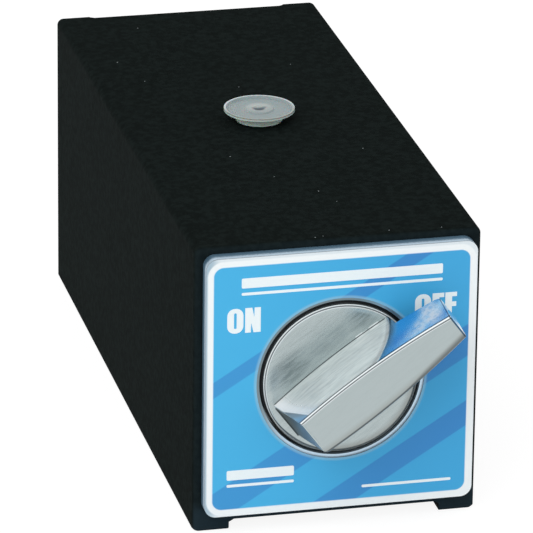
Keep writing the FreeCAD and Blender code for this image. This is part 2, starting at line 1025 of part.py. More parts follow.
def tie_screws():
    """Long cap screws through the shoes, which clamp the rotor between its caps."""
    screws = []
    for count, (x, y) in enumerate(tie_places()):
        head_low = f"({ROTOR_FRONT} - tie_head_height)"
        shank = cylinder(
            f"tie_shank_{count}",
            ROTOR,
            "tie_radius",
            f"({ROTOR_BACK} + tie_end)",
            head_low,
            x,
            y,
        )
        head = cylinder(
            f"tie_head_{count}",
            ROTOR,
            "tie_head_radius",
            head_low,
            f"({ROTOR_FRONT} - tie_gap)",
            x,
            y,
        )
        key = key_socket(
            f"tie_key_{count}",
            ROTOR,
            "tie_key",
            f"({ROTOR_FRONT} - tie_gap - tie_key_depth)",
            f"({ROTOR_FRONT} - tie_gap)",
            x,
            y,
        )
        blank = fused(f"tie_blank_{count}", [shank, head])
        screws.append(cut(f"tie_screw_{count}", blank, [key]))
    node(group("rotor_tie_screws", screws), "rotor_tie_screws")


# The plug in the column hole
def thread_plug():
    body = new_body("thread_plug", COLUMN)
    rim = "(plug_flange_radius - plug_rim_width)"
    dish = "(plug_height - plug_dish)"
    boss = f"({dish} + plug_boss_height)"
    turned(
        body,
        "thread_plug",
        [
            ("0", "-plug_stem"),
            (STEM_RADIUS, "-plug_stem"),
            (STEM_RADIUS, "plug_neck"),
            ("plug_flange_radius", "plug_height - plug_rim"),
            ("plug_flange_radius", "plug_height"),
            (rim, "plug_height"),
            (f"{rim} - plug_dish", dish),
            ("plug_boss_radius + plug_boss_height", dish),
            ("plug_boss_radius", boss),
            ("plug_dimple_radius", boss),
            ("0", f"{boss} - plug_dimple_depth"),
        ],
    )
    node(body, "thread_plug")


block = block_outline()
poles(block)
spacers(block)
front_plate()
label_sheet()
knob()
knob_seal()
front_bush()
thrust_washer()
spring_washer()
rear_end()
rotor_caps()
rotor_magnets()
rotor_shoes()
tie_screws()
thread_plug()
doc.recompute()

# Nothing is written unless every object and every piece is sound
for item in doc.Objects:
    if {"Invalid", "Error"} & set(item.State):
        raise RuntimeError(f"{item.Name} failed: {item.State}")
for item in NODES:
    shape = item.Shape
    if shape.isNull() or not shape.isValid() or not shape.Solids:
        raise RuntimeError(f"{item.Label} has no valid solid")

os.makedirs("parts", exist_ok=True)
for item in NODES:
    item.Shape.exportStep(f"parts/{item.Label}.step")
    bounds = item.Shape.BoundBox
    print(
        f"{item.Label}: {len(item.Shape.Solids)} solid, {item.Shape.Volume:.0f} mm3, "
        f"x {bounds.XMin:.2f} to {bounds.XMax:.2f}, y {bounds.YMin:.2f} to {bounds.YMax:.2f}, "
        f"z {bounds.ZMin:.2f} to {bounds.ZMax:.2f}"
    )
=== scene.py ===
# %% [markdown]
# # A switchable magnetic base
# The real object is a black steel block with a pale metal plate on its front, a blue printed sheet on
# that plate, a cast knob that is turned to OFF, and a pale plastic plug in the hole on top. The solids
# come from CAD and already have the right shape and size, so this lesson is about finish: paint, print,
# plated metal, rubber and plastic, and the light that they are seen in.

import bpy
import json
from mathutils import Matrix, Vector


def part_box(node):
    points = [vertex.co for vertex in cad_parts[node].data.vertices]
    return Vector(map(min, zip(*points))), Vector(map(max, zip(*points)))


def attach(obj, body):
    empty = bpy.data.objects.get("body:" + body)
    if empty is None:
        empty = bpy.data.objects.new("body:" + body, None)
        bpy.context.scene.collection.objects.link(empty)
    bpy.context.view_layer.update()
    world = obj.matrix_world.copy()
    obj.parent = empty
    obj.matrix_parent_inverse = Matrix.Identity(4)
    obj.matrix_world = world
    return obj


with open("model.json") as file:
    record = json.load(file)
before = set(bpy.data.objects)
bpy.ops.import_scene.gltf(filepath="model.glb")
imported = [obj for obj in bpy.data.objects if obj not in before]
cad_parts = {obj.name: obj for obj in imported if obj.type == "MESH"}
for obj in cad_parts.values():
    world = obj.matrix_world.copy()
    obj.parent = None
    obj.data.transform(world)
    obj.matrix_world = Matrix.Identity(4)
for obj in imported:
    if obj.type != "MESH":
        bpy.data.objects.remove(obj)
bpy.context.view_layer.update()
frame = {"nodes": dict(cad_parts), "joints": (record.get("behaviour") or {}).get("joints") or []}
nodes = frame["nodes"]

# %% [markdown]
# ## Units and places
# Everything is in metres, with +Z up and the knob facing -Y. The knob turns about a line along Y, and
# several pieces are round about it, so that line and the depth of the sheet's face are read from the
# solids once. Finishes are written in millimetres.

# %% Where the knob and the sheet are
import json
import math

import bmesh
import bpy
from mathutils import Matrix, Vector

MM = 0.001
knob_axis = Vector(frame["joints"][0]["pos_m"]) / MM
sheet_low, sheet_high = (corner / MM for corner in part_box("label_sheet"))
sheet_face = sheet_low.y
print("knob axis", tuple(knob_axis), "sheet face", round(sheet_face, 3))


# %% A short way to add an object
def add_object(name, data):
    """Make an object from its data and link it to the scene."""
    made = bpy.data.objects.new(name, data)
    bpy.context.scene.collection.objects.link(made)
    return made


# %% [markdown]
# ## The camera
# A photograph's camera can be found again from the edges of a box of known size. Here the four corners of
# the plate and the block's long edges gave its place, its three directions and its lens. It stands far
# away with a long lens, which is why the block's edges hardly draw together.

# %% Set the camera
camera_place = Vector((-203.79, -850.04, 377.31)) * MM
camera_right = Vector((0.97343, -0.22868, 0.01165))
camera_down = Vector((-0.07471, -0.36529, -0.92789))
picture_width = 533
focal_pixels = 5237.28

camera_data = bpy.data.cameras.new("camera")
camera_data.sensor_width = 36
camera_data.lens = focal_pixels / picture_width * camera_data.sensor_width
camera_data.clip_start = 0.05
camera = add_object("camera", camera_data)
camera_back = camera_right.cross(-camera_down)
turn = Matrix((camera_right, -camera_down, camera_back)).transposed()
camera.matrix_world = Matrix.Translation(camera_place) @ turn.to_4x4()
bpy.context.scene.camera = camera
bpy.context.scene.view_settings.view_transform = "Standard"
print("lens", round(camera_data.lens, 1), "mm")

# %% [markdown]
# ## A short way to write finishes
# A finish is a tree of nodes that ends in the Principled shader. Writing each node and link out in full
# hides the idea, so a small class adds a node in one line and hands back the socket that comes out of it.
# A second class builds on it. Its positions are in millimetres on the piece, because grain and scratches
# have a real size. A mask is a number from 0 to 1 that says where something shows. It is often a soft step
# between two values, and a name such as front_face holds such a pair. Most colours here are layers: a
# base, and then one colour after another, each where its mask says.

# %% The class that adds nodes
class NodeTree:
    """A material that is built node by node, in millimetres on the piece."""

    def __init__(self, name):
        self.material = bpy.data.materials.new(name)
        self.material.use_nodes = True
        self.tree = self.material.node_tree
        self.shader = self.tree.nodes["Principled BSDF"]
        coordinates = self.tree.nodes.new("ShaderNodeTexCoord")
        self.place = self.add(
            "VectorMath", {0: coordinates.outputs["Object"], "Scale": 1 / MM}, operation="SCALE"
        ).outputs[0]

    def add(self, kind, inputs=None, **settings):
        """Add a node, set its options, and fill or link its inputs."""
        node = self.tree.nodes.new("ShaderNode" + kind)
        for name, setting in settings.items():
            setattr(node, name, setting)
        for key, given in (inputs or {}).items():
            self.fill(node.inputs[key], given)
        return node

    def fill(self, socket, given):
        """Link a socket to another one, or set it to a value."""
        if isinstance(given, bpy.types.NodeSocket):
            self.tree.links.new(given, socket)
        else:
            socket.default_value = given

    def set(self, **sockets):
        """Fill or link the shader's own inputs, and hand back the material."""
        for name, given in sockets.items():
            self.fill(self.shader.inputs[name.replace("_", " ")], given)
        return self.material

    def math(self, operation, *values):
        """One step of arithmetic on numbers or sockets."""
        return self.add("Math", dict(enumerate(values)), operation=operation).outputs[0]

    def scaled(self, value, factor):
        """A value times a factor."""
        return self.math("MULTIPLY", value, factor)

    def spread(self, value, low, high):
        """A number from 0 to 1 mapped straight to a range."""
        return self.add(
            "MapRange",
            {"Value": value, "From Min": 0.0, "From Max": 1.0, "To Min": low, "To Max": high},
        ).outputs[0]

    def vector(self, x, y, z):
        """Three numbers or sockets as one place."""
        return self.add("CombineXYZ", {0: x, 1: y, 2: z}).outputs[0]


# %% The class that measures, masks and colours
class Finish(NodeTree):
    """A material with measures on the piece, masks from 0 to 1 and layers of colour."""

    def along(self, direction, start=(0, 0, 0)):
        """How far a point lies from a start along a direction."""
        away = self.add("VectorMath", {0: self.place, 1: start}, operation="SUBTRACT").outputs[0]
        return self.add("VectorMath", {0: away, 1: direction}, operation="DOT_PRODUCT").outputs["Value"]

    def distance(self, first, second):
        """How far two coordinates at right angles are from zero."""
        squares = [self.math("POWER", side, 2.0) for side in (first, second)]
        return self.math("SQRT", self.math("ADD", *squares))

    def about_knob(self):
        """How far a point lies to the right of the knob's axis, above it, and away from it."""
        across = self.along((1, 0, 0))
        up = self.along((0, 0, 1), (0, 0, knob_axis.z))
        return across, up, self.distance(across, up)

    def step(self, value, low, high):
        """A soft step: 0 at low, 1 at high."""
        return self.add(
            "MapRange",
            {"Value": value, "From Min": low, "From Max": high, "To Min": 0.0, "To Max": 1.0},
            interpolation_type="SMOOTHSTEP",
        ).outputs[0]

    def line(self, value, middle, half):
        """A thin line: 1 where a value is at the middle, 0 from half away."""
        away = self.math("ABSOLUTE", self.math("SUBTRACT", value, middle))
        return self.step(self.math("DIVIDE", away, half), 1.0, 0.4)

    def oval(self, sides, outer, inner):
        """A soft oval on two sides, each given as a value, its middle and its half width."""
        away = []
        for value, middle, half in sides:
            away.append(self.math("DIVIDE", self.math("SUBTRACT", value, middle), half))
        return self.step(self.distance(*away), outer, inner)

    def both(self, *masks):
        """1 only where every mask is 1."""
        product = masks[0]
        for mask in masks[1:]:
            product = self.math("MULTIPLY", product, mask)
        return product

    def either(self, *masks):
        """The strongest of the masks."""
        strongest = masks[0]
        for mask in masks[1:]:
            strongest = self.math("MAXIMUM", strongest, mask)
        return strongest

    def opposite(self, mask):
        """1 where a mask is 0."""
        return self.math("SUBTRACT", 1.0, mask)

    def noise(self, size, detail=3.0, place=None, roughness=0.55):
        """Noise with spots of about the size given, on the piece or at a place of its own."""
        place = place or self.place
        return self.add(
            "TexNoise",
            {"Vector": place, "Scale": 1 / size, "Detail": detail, "Roughness": roughness},
        ).outputs[0]

    def mix(self, mask, first, second):
        """The first colour where a mask is 0, the second where it is 1."""
        inputs = {0: mask, 6: first, 7: second}
        return self.add("Mix", inputs, data_type="RGBA").outputs[2]

    def layers(self, base, *pairs):
        """Colours laid over a base one after another, each given as a mask and a colour."""
        for mask, given in pairs:
            base = self.mix(mask, base, given)
        return base

    def bump(self, height, depth, under=None):
        """Turn a height from 0 to 1 into a bump that is some millimetres deep."""
        inputs = {"Height": height, "Distance": depth * MM, "Strength": 1.0}
        if under:
            inputs["Normal"] = under
        return self.add("Bump", inputs).outputs[0]


# %% Colours, and giving a finish to pieces
def colour(red, green, blue):
    """A colour as a screen shows it, from 0 to 255, as the linear colour that a shader takes."""
    def linear(level):
        level /= 255
        return level / 12.92 if level <= 0.04045 else ((level + 0.055) / 1.055) ** 2.4

    return (linear(red), linear(green), linear(blue), 1.0)


def wear(material, *names):
    """Give a material to CAD nodes."""
    for name in names:
        nodes[name].data.materials[0] = material
    print(material.name, "on", ", ".join(names))


# %% [markdown]
# ## Black paint
# The block is sprayed with a satin black that dries with a fine grain. A flat black would look like a
# hole in the picture. What the eye reads as paint is the soft grey sheen, broken up by the grain, so the
# colour varies a little in clouds and in small patches, and a fine noise bends the light. A painted sheen
# makes the front face a little lighter and bluer than the rest, most of all on the two feet under the
# plate.

# %% Paint the block
front_face = (-52.0, -52.8)
foot_top = (6.0, 3.0)


def black_paint():
    paint = Finish("satin_black_paint")
    grain = paint.noise(0.28, detail=4.0)
    cloud = paint.noise(14.0, detail=2.0)
    patchy = paint.step(paint.noise(1.1), 0.35, 0.65)
    # Painted sheen: the front face is coloured lighter and bluer, most of all on the feet below foot_top.
    front_sheen = paint.step(paint.along((0, 1, 0)), *front_face)
    foot_sheen = paint.step(paint.along((0, 0, 1)), *foot_top)
    black = paint.layers(
        paint.mix(cloud, colour(16, 21, 20), colour(21, 27, 26)),
        (paint.both(patchy, 0.6), colour(25, 32, 31)),
        (paint.both(paint.opposite(patchy), 0.5), colour(12, 17, 16)),
        (paint.both(front_sheen, paint.spread(foot_sheen, 0.25, 0.95)), colour(34, 47, 54)),
        (paint.step(grain, 0.6, 0.78), colour(34, 42, 41)),
    )
    return paint.set(
        Base_Color=black,
        Roughness=paint.spread(grain, 0.66, 0.82),
        Specular_IOR_Level=0.006,
        Normal=paint.bump(grain, 0.03),
    )


wear(black_paint(), "left_pole", "right_pole", "top_spacer", "bottom_spacer", "rear_cover")

# %% [markdown]
# ## Chips in the paint
# A used base has a few tiny chips where bare steel shows, and they are closer together along the top's
# front edge. They repeat and they follow the painted top, so they are a job for Geometry Nodes: points
# are scattered on flat patches with a fixed seed, and a flake is placed at each point, turned and scaled
# at random. The result is baked to a plain mesh. One group serves both scatters: a few chips over the
# top, clear of the plug, and a denser row at the edge.

# %% Build the scatter
def chip_scatter():
    """A node group that puts a small flake at random points of a patch."""
    group = bpy.data.node_groups.new("paint_chips", "GeometryNodeTree")
    sockets = group.interface
    sockets.new_socket("Geometry", in_out="INPUT", socket_type="NodeSocketGeometry")
    for label, kind, start in (
        ("Density", "NodeSocketFloat", 4000.0), ("Flake Size", "NodeSocketFloat", 0.0001),
        ("Seed", "NodeSocketInt", 7), ("Finish", "NodeSocketMaterial", None),
    ):
        socket = sockets.new_socket(label, in_out="INPUT", socket_type=kind)
        if start is not None:
            socket.default_value = start
    sockets.new_socket("Geometry", in_out="OUTPUT", socket_type="NodeSocketGeometry")

    def add(kind, **given):
        node = group.nodes.new(kind)
        for key, value in given.items():
            socket = node.inputs[key.replace("_", " ")]
            if isinstance(value, bpy.types.NodeSocket):
                group.links.new(value, socket)
            else:
                socket.default_value = value
        return node

    given = group.nodes.new("NodeGroupInput").outputs
    points = add(
        "GeometryNodeDistributePointsOnFaces",
        Mesh=given["Geometry"], Density=given["Density"], Seed=given["Seed"],
    )
    flake = add("GeometryNodeMeshIcoSphere", Radius=given["Flake Size"], Subdivisions=1)
    spin = add("FunctionNodeRandomValue", Seed=given["Seed"])
    spin.data_type = "FLOAT_VECTOR"
    spin.inputs[1].default_value = (0.0, 0.0, math.tau)
    grow = add("FunctionNodeRandomValue", Seed=given["Seed"])
    grow.data_type = "FLOAT_VECTOR"
    grow.inputs[0].default_value = (0.5, 0.4, 0.12)
    grow.inputs[1].default_value = (1.5, 1.1, 0.18)
    placed = add(
        "GeometryNodeInstanceOnPoints", Points=points.outputs["Points"], Instance=flake.outputs["Mesh"],
        Rotation=spin.outputs[0], Scale=grow.outputs[0],
    )
    real = add("GeometryNodeRealizeInstances", Geometry=placed.outputs[0])
    painted = add("GeometryNodeSetMaterial", Geometry=real.outputs[0], Material=given["Finish"])
    group.links.new(painted.outputs[0], group.nodes.new("NodeGroupOutput").inputs[0])
    return group


# %% Give the chips a finish
def bare_chip():
    chip = Finish("bare_chip")
    speck = chip.noise(0.1)
    return chip.set(
        Base_Color=chip.mix(speck, colour(100, 110, 112), colour(168, 178, 180)),
        Roughness=chip.spread(speck, 0.4, 0.6),
    )


chip_group = chip_scatter()
chip_finish = bare_chip()
flake_size = 0.00013
print("scatter inputs", [item.name for item in chip_group.interface.items_tree if item.in_out == "INPUT"])


# %% Scatter the chips
def scatter_chips(name, patches, density, seed):
    """Chips on flat patches of the top, each from left, front, right and back."""
    corners = []
    for left, front, right, back in patches:
        corners += [(left, front), (right, front), (right, back), (left, back)]
    top_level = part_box("left_pole")[1].z
    patch = bpy.data.meshes.new(name + "_patch")
    patch.from_pydata(
        [(x * MM, y * MM, top_level) for x, y in corners], [],
        [range(start, start + 4) for start in range(0, len(corners), 4)],
    )
    carrier = add_object(name + "_carrier", patch)
    modifier = carrier.modifiers.new("scatter", "NODES")
    modifier.node_group = chip_group
    values = {"Density": density, "Flake Size": flake_size, "Seed": seed, "Finish": chip_finish}
    for item in chip_group.interface.items_tree:
        if item.in_out == "INPUT" and item.name in values:
            modifier[item.identifier] = values[item.name]
    graph = bpy.context.evaluated_depsgraph_get()
    data = bpy.data.meshes.new_from_object(carrier.evaluated_get(graph))
    data.name = name
    bpy.data.objects.remove(carrier)
    piece = add_object(name, data)
    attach(piece, "block")
    print(name, len(data.polygons), "faces")


scatter_chips("paint_chips", ((-21, -51.8, 21, -4), (-21, 17, 21, 60)), 2400.0, 7)
scatter_chips("edge_chips", ((-20, -51.8, 20, -50.8),), 110000.0, 3)

# %% [markdown]
# ## The bare metal of the plate
# The plate under the sheet is aluminium. Its cut edge shows round the sheet, and a narrow ring of it
# shows round the knob. The finish is milled, so the grain is fine and runs one way. The sides are duller
# than the front, and a painted shade turns them darker blue grey toward the block. The ring is painted
# darker at its upper left as shade.

# %% Finish the plate
plate_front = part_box("front_plate")[0].y / MM
plate_ring = (15.0, 14.8)


def aluminium():
    metal = Finish("milled_aluminium")
    milling = metal.vector(metal.along((1, 0, 0)), metal.along((0, 1, 0)), metal.along((0, 0, 9)))
    grain = metal.noise(0.5, place=milling)
    speck = metal.noise(0.3, detail=4.0)
    behind = metal.along((0, 1, 0), (0, plate_front, 0))
    side = metal.step(behind, 0.02, 0.06)
    deep = metal.step(metal.math("ADD", behind, metal.spread(speck, -0.4, 0.4)), 0.4, 1.3)
    across, up, radius = metal.about_knob()
    shaded_upper_left = metal.step(metal.math("SUBTRACT", up, across), -4.0, 12.0)
    bright = metal.layers(
        metal.mix(grain, colour(182, 208, 226), colour(204, 222, 236)),
        # Painted shade: the ring round the knob is darker at its upper left, and the sides darker blue
        # grey toward the block.
        (metal.both(metal.step(radius, *plate_ring), shaded_upper_left), colour(128, 144, 150)),
        (deep, colour(92, 124, 146)),
    )
    return metal.set(
        Base_Color=bright,
        Metallic=metal.spread(side, 1.0, 0.5),
        Roughness=metal.spread(grain, 0.38, 0.48),
        Normal=metal.bump(grain, 0.006),
    )


wear(aluminium(), "front_plate")

# %% [markdown]
# ## The printed sheet
# The sheet is white with a blue field printed on it, and the print stops short of the edges, so a white
# border is left. The field's shape is a rounded rectangle. Its distance function gives a clean edge at
# any zoom, which an image would not. The motif is three straight leaning bands in a darker blue. Painted
# shade and a paler ring finish it: the border's outer line is painted grey as shade at the left and upper
# left, a paler ring surrounds the knob's hole, and the cut edge is grey.

# %% Measure the blue field
field_middle = (0.0, 27.3)
field_half = (22.3, 22.3)
field_corner = 1.7
border = sheet_high.x - field_half[0]
print("white border", round(border, 2), "mm")


def field_distance(sheet):
    """How far a point lies outside the blue field's rounded rectangle."""
    outside = []
    for direction, middle, half in zip(((1, 0, 0), (0, 0, 1)), field_middle, field_half):
        away = sheet.math("ABSOLUTE", sheet.math("SUBTRACT", sheet.along(direction), middle))
        outside.append(sheet.math("SUBTRACT", away, half - field_corner))
    across, up = (sheet.math("MAXIMUM", side, 0.0) for side in outside)
    return sheet.math("SUBTRACT", sheet.distance(across, up), field_corner)


# %% Draw the motif and the painted shade
band_lean = math.radians(32)
band_blur = 0.15
bands = ((-20.5, -16.5), (-9.5, -4.5), (10.5, 13.0))


def leaning_bands(sheet):
    """Three straight bands across the field."""
    level = sheet.along((-math.sin(band_lean), 0, math.cos(band_lean)), (0, 0, field_middle[1]))
    band = 0.0
    for low, high in bands:
        above = sheet.step(level, low - band_blur, low + band_blur)
        below = sheet.step(level, high + band_blur, high - band_blur)
        band = sheet.math("ADD", band, sheet.both(above, below))
    return band


def shaded_rim(sheet, outside):
    """The white border's outer line, painted grey as shade: strong at the left, faint along the top."""
    rim = sheet.step(outside, border - 0.42, border - 0.08)
    shaded_upper_left = sheet.step(sheet.along((-1, 0, 1), (0, 0, field_middle[1])), -8.0, 2.0)
    left_edge = sheet.step(sheet.along((-1, 0, 0)), 21.0, 23.0)
    return sheet.both(rim, shaded_upper_left, sheet.spread(left_edge, 0.25, 0.85))


# %% Print the sheet
hole_ring = (15.4, 14.95)


def printed_sheet():
    sheet = Finish("printed_sheet")
    fade = sheet.step(sheet.along((1, 0, 0)), -24, 24)
    light = sheet.mix(fade, colour(74, 182, 233), colour(68, 170, 224))
    dark = sheet.mix(fade, colour(66, 155, 216), colour(62, 140, 206))
    outside = field_distance(sheet)
    radius = sheet.about_knob()[2]
    cut = sheet.step(sheet.along((0, 1, 0)), sheet_face + 0.02, sheet_face + 0.04)
    ink = sheet.layers(
        sheet.mix(leaning_bands(sheet), light, dark),
        (sheet.step(outside, -0.12, 0.12), colour(245, 251, 253)),
        # Painted shade: the border's outer line is greyed at the left and upper left.
        (shaded_rim(sheet, outside), colour(150, 180, 198)),
        (sheet.both(sheet.step(radius, *hole_ring), 0.6), colour(150, 196, 218)),
        (cut, colour(150, 164, 174)),
    )
    speck = sheet.noise(0.35, detail=2.0)
    return sheet.set(
        Base_Color=ink,
        Roughness=sheet.spread(speck, 0.3, 0.42),
        Specular_IOR_Level=0.2,
        Normal=sheet.bump(speck, 0.004),
    )


wear(printed_sheet(), "label_sheet")

# %% [markdown]
# ## Letters as thin ink
# ON and OFF are printed in white. Letters could come from a font, but the real ones are tall, heavy and
# narrow, and only three shapes are needed, so each is drawn as an outline on a grid. The ink is a real
# layer a few hundredths of a millimetre thick. Plain white rules of the same ink finish the layout: two
# at the top and three near the foot.

# %% Draw the letters
letter_height = 4.5


def rounded(left, low, right, high, radius, steps=6):
    """The corners of a rounded rectangle, anticlockwise."""
    centres = (
        (right - radius, high - radius), (left + radius, high - radius),
        (left + radius, low + radius), (right - radius, low + radius),
    )
    points = []
    for quarter, (x, z) in enumerate(centres):
        for step in range(steps + 1):
            angle = math.pi / 2 * (quarter + step / steps)
            points.append((x + radius * math.cos(angle), z + radius * math.sin(angle)))
    return points


def letter_o():
    outer = rounded(0, 0, 2.8, letter_height, 1.3)
    inner = rounded(1.17, 0.85, 1.63, letter_height - 0.8, 0.2)
    return outer, inner


def letter_n():
    top = letter_height
    return [
        (0, 0), (1.0, 0), (1.06, 1.75), (1.46, 0), (2.7, 0),
        (2.7, top), (1.62, top), (1.58, 2.75), (1.22, top), (0, top),
    ], None


def letter_f():
    top = letter_height
    return [
        (0, 0), (1.2, 0), (1.2, 1.9), (1.95, 1.9), (1.95, 2.75),
        (1.2, 2.75), (1.2, 3.7), (2.05, 3.7), (2.05, top), (0, top),
    ], None


# %% Turn outlines into ink
ink_thickness = 0.03


def ink(name, shapes):
    """Thin ink on the sheet's face from outlines, each with or without a hole."""
    mesh = bmesh.new()
    for outer, inner in shapes:
        rings = []
        for depth in (sheet_face, sheet_face - ink_thickness):
            for ring in (outer, inner):
                rings.append([mesh.verts.new((x * MM, depth * MM, z * MM)) for x, z in ring or ()])
        back_outer, back_inner, front_outer, front_inner = rings
        for back, front in ((back_outer, front_outer), (back_inner, front_inner)):
            for here in range(len(back)):
                following = (here + 1) % len(back)
                mesh.faces.new((back[here], back[following], front[following], front[here]))
        for side_outer, side_inner in ((back_outer, back_inner), (front_outer, front_inner)):
            if not side_inner:
                mesh.faces.new(side_outer)
                continue
            for here in range(len(side_outer)):
                following = (here + 1) % len(side_outer)
                mesh.faces.new(
                    (side_outer[here], side_outer[following], side_inner[following], side_inner[here])
                )
    mesh.normal_update()
    bmesh.ops.triangulate(mesh, faces=mesh.faces[:])
    bmesh.ops.recalc_face_normals(mesh, faces=mesh.faces[:])
    data = bpy.data.meshes.new(name)
    mesh.to_mesh(data)
    mesh.free()
    return add_object(name, data)


# %% Set the words and the rules
baseline = 37.5
words = (
    (letter_o, -19.95), (letter_n, -16.85),
    (letter_o, 12.75), (letter_f, 15.8), (letter_f, 18.05),
)
rules = (
    (-17.5, 45.6, 17.5, 47.4, 0.25), (-17.5, 44.3, 17.5, 44.8, 0.2),
    (-19.8, 10.4, -8.0, 12.2, 0.25), (-19.8, 9.1, -8.0, 9.6, 0.2),
    (4.0, 7.0, 19.8, 7.5, 0.2),
)


def moved(shape, x, z):
    """An outline and its hole moved across and up."""
    return [[(a + x, b + z) for a, b in ring] if ring else None for ring in shape]


lettering = ink("sheet_lettering", [moved(letter(), x, baseline) for letter, x in words])
ruling = ink("sheet_rules", [(rounded(*rule), None) for rule in rules])


# %% Colour the ink
def white_ink():
    white = Finish("white_ink")
    speck = white.noise(0.3, detail=2.0)
    return white.set(
        Base_Color=white.mix(speck, colour(234, 246, 251), colour(244, 252, 254)),
        Roughness=white.spread(speck, 0.32, 0.45),
        Specular_IOR_Level=0.35,
    )


ink_finish = white_ink()
for piece in (lettering, ruling):
    piece.data.materials.append(ink_finish)
    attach(piece, "block")
    print(piece.name, len(piece.data.polygons), "faces")

# %% [markdown]
# ## The cast knob
# The knob is a zinc casting with a bright plating. The disc and the lever's top are satin from tumbling,
# with darker streaks and clouds. The lever's left wall is polished. It mirrors the disc near the heel and
# the blue sheet toward the tip, and these reflections are partly painted into its colour, as is a
# highlight at the heel; near the tip it has pale hazy spots. Painted shade darkens the corners and edges,
# and painted highlights brighten the bevel and the chamfer. Both are one metal, so one finish changes its
# colour and roughness over the piece. It measures along, across and above the disc in the lever's own
# directions, and those turn with the knob.

# %% Measure on the knob
lever_angle = math.radians(37)
disc_face = sheet_face - 0.4
foot_half = 4.56
heel_reach = 11.75
heel_lean = 0.208
lever_bow = 276.0
crown_rise = 0.016
crown_level = 11.3
crown_edge = (10.9, 11.0)
tip_reach = 22.0
tip_lean = 0.05


class KnobFinish(Finish):
    """A finish that also knows where a point lies on the lever and the disc."""

    def __init__(self, name):
        super().__init__(name)
        centre = (0, disc_face, knob_axis.z)
        self.length = self.along((math.cos(lever_angle), 0, math.sin(lever_angle)), centre)
        self.across = self.along((-math.sin(lever_angle), 0, math.cos(lever_angle)), centre)
        self.height = self.along((0, -1, 0), centre)
        self.radius = self.distance(self.length, self.across)
        bow = self.math("DIVIDE", self.math("POWER", self.length, 2.0), lever_bow)
        self.left = self.math("ADD", self.across, bow)
        self.right = self.math("SUBTRACT", bow, self.across)
        self.level = self.math("SUBTRACT", self.height, self.scaled(self.length, crown_rise))
        self.climb = self.scaled(self.height, 1 / crown_level)
        lean = self.scaled(self.height, heel_lean)
        self.from_heel = self.math("SUBTRACT", self.math("ADD", self.length, heel_reach), lean)
        self.toward_tip = self.math("ADD", self.length, self.scaled(self.height, tip_lean))
        self.add_masks()

    def add_masks(self):
        """Masks for the faces: disc, chamfer, wall, top, the heel's face and the tip's."""
        risen = self.step(self.height, 0.04, 0.1)
        under_crown = self.step(self.level, crown_level, 11.1)
        self.disc = self.step(self.height, 0.08, 0.02)
        self.chamfer = self.both(self.step(self.radius, 13.1, 13.2), self.step(self.height, 0.2, 0.05))
        self.wall = self.both(self.step(self.left, 3.85, 3.95), risen, self.step(self.level, 11.1, 11.0))
        self.top = self.step(self.level, 11.25, 11.4)
        self.heel = self.both(
            self.step(self.from_heel, 0.35, 0.2), self.step(self.left, 4.0, 3.95), risen, under_crown
        )
        self.end = self.both(self.step(self.toward_tip, tip_reach, tip_reach + 0.05), under_crown)

    def stretched(self, *scales):
        """A place for noise that is drawn out along the lever."""
        ways = (self.length, self.across, self.height)
        return self.vector(*(self.scaled(way, scale) for way, scale in zip(ways, scales)))

    def ovals(self, value, outer, inner, *places):
        """Soft ovals: length, middle on another value, half length, half width and strength."""
        masks = []
        for length, middle, half_length, half_width, strength in places:
            sides = ((self.length, length, half_length), (value, middle, half_width))
            masks.append(self.both(self.oval(sides, outer, inner), strength))
        return self.either(*masks)


# %% Find the painted shade lines on the casting
def shade_lines(metal):
    """Painted shade in the corners and along edges: the foot, the heel, the crown's edges, the right edge
    near the tip and the rim.
    """
    patch = metal.noise(2.2)
    low = metal.step(metal.height, 0.3, 0.12)
    side = metal.either(metal.left, metal.right)
    inside = metal.both(low, metal.step(metal.radius, 12.95, 12.7), metal.step(metal.length, -11.7, -11.4))
    foot = metal.both(metal.line(side, foot_half, 0.14), inside, metal.spread(patch, 0.2, 0.9))
    heel = metal.both(metal.line(metal.length, -11.82, 0.13), low, metal.step(side, 4.0, 3.8))
    crown = metal.both(metal.line(metal.left, 3.86, 0.13), metal.step(metal.level, *crown_edge), 0.85)
    under = metal.both(metal.wall, metal.step(metal.level, 10.62, 10.75), 0.8)
    near_tip = metal.step(metal.length, 7.0, 15.0)
    brink = metal.both(
        metal.step(metal.right, metal.spread(near_tip, 3.42, 2.6), metal.spread(near_tip, 3.66, 3.75)),
        metal.step(metal.level, 9.0, 10.0), metal.spread(near_tip, 0.85, 0.65),
    )
    lower = metal.step(metal.across, 3.0, -3.0)
    rim = metal.both(
        metal.line(metal.radius, metal.spread(lower, 13.32, 13.02), metal.spread(lower, 0.12, 0.2)),
        metal.step(metal.height, 0.15, 0.05), metal.spread(lower, 0.85, 0.8),
    )
    return metal.either(foot, heel, crown, under, brink, rim)


# %% Find the streaks on the disc and the spots on the wall
def disc_streaks(metal):
    """Streaks along the lever, thickest in three clouds above it."""
    grain = metal.noise(0.9, detail=6.0, place=metal.stretched(0.22, 1.3, 1.0), roughness=0.6)
    streak = metal.spread(metal.step(grain, 0.4, 0.62), 0.45, 1.0)
    clouds = metal.ovals(
        metal.across, 1.4, 0.3,
        (-5.4, 7.4, 4.4, 2.6, 1.0), (9.6, 6.9, 3.6, 2.0, 0.9), (2.0, 7.2, 8.0, 1.7, 0.5),
    )
    inside = metal.step(metal.radius, 12.8, 12.2)
    return metal.both(streak, metal.spread(clouds, 0.08, 0.72), metal.disc, inside)


def wall_spots(metal):
    """Pale hazy spots near the lever's tip."""
    spots = metal.ovals(
        metal.height, 1.1, 0.4,
        (19.1, 7.0, 2.5, 4.8, 0.85), (16.5, 8.8, 1.3, 2.4, 0.6), (14.8, 9.6, 1.8, 1.3, 0.4),
    )
    ragged = metal.step(metal.noise(1.3, detail=2.0), 0.3, 0.6)
    return metal.both(spots, metal.spread(ragged, 0.45, 1.0), metal.wall)


# %% Divide the polished wall
mirror_bulge = 0.045
mirror_edge = (12.9, 12.3)
glint_knee = 4.0
glint_slope = 0.3


